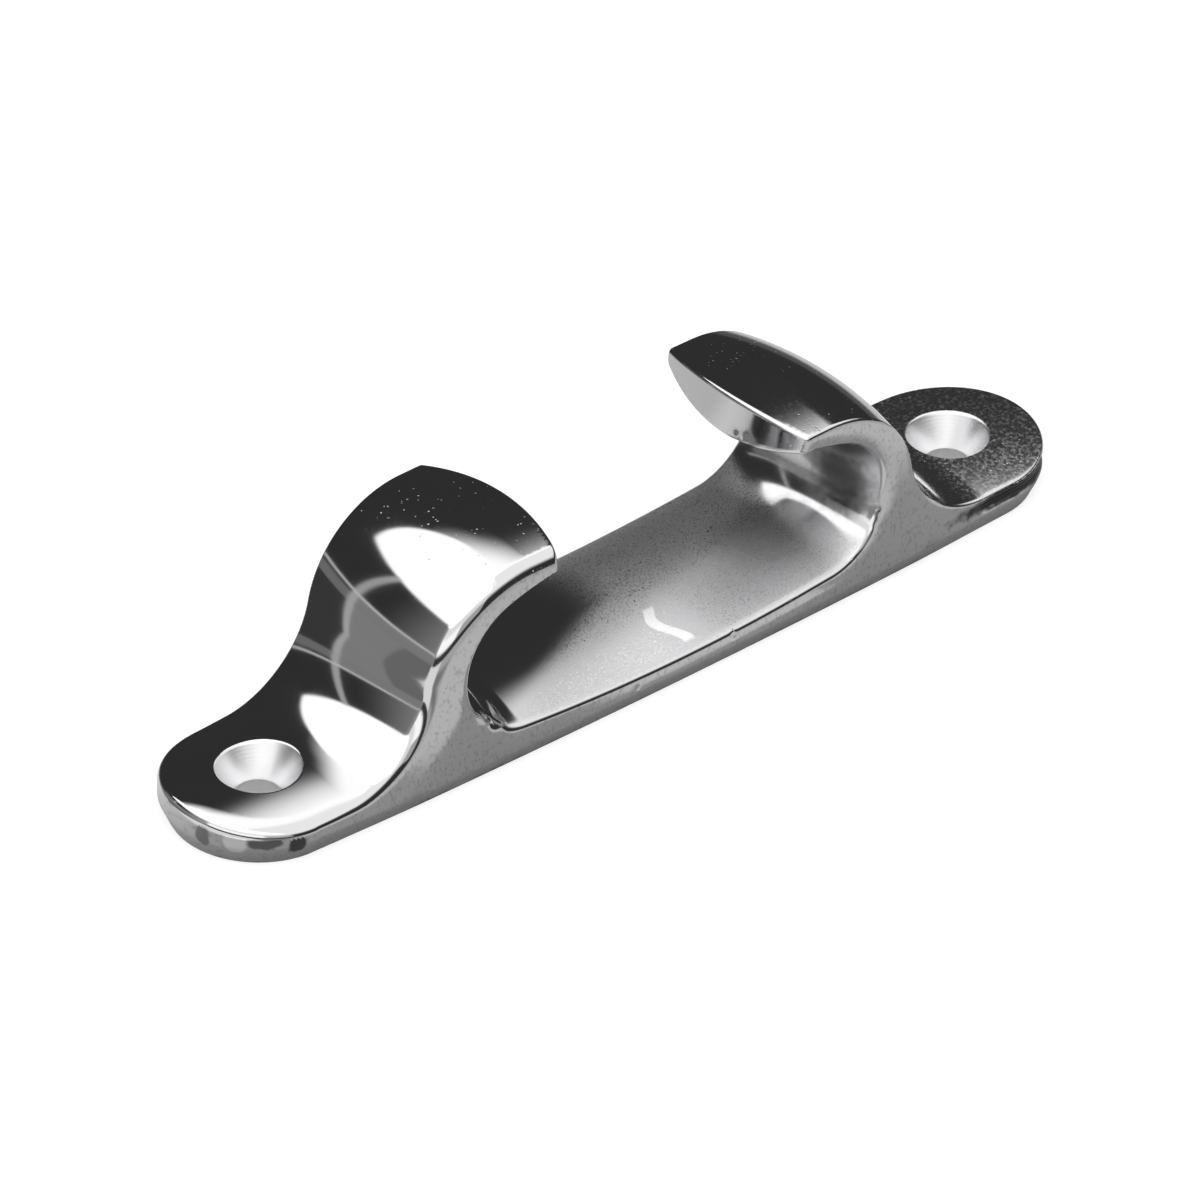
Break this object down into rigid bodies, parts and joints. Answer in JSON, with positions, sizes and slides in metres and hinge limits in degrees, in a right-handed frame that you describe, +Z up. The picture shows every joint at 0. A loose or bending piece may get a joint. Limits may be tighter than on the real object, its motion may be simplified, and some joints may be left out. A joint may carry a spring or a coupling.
{
  "type": "straight fairlead",
  "caption": "Long straight deck fairlead: a flat base with a countersunk tab at each end and two inward-curving horns over an open rope throat.",
  "frame": {"origin": "centre of the flat underside, on the deck plane midway between the two screw holes", "axes": "+X along the base towards the right-hand tab, +Y across the base towards the back, +Z up from the deck; the rope runs along Y"},
  "size_m": [0.127, 0.0244, 0.0273],
  "materials": {
    "polished_metal": "mirror polished, with a finely brushed throat floor"
  },
  "bodies": {
    "root": {"fairlead": "polished_metal"}
  },
  "joints": []
}
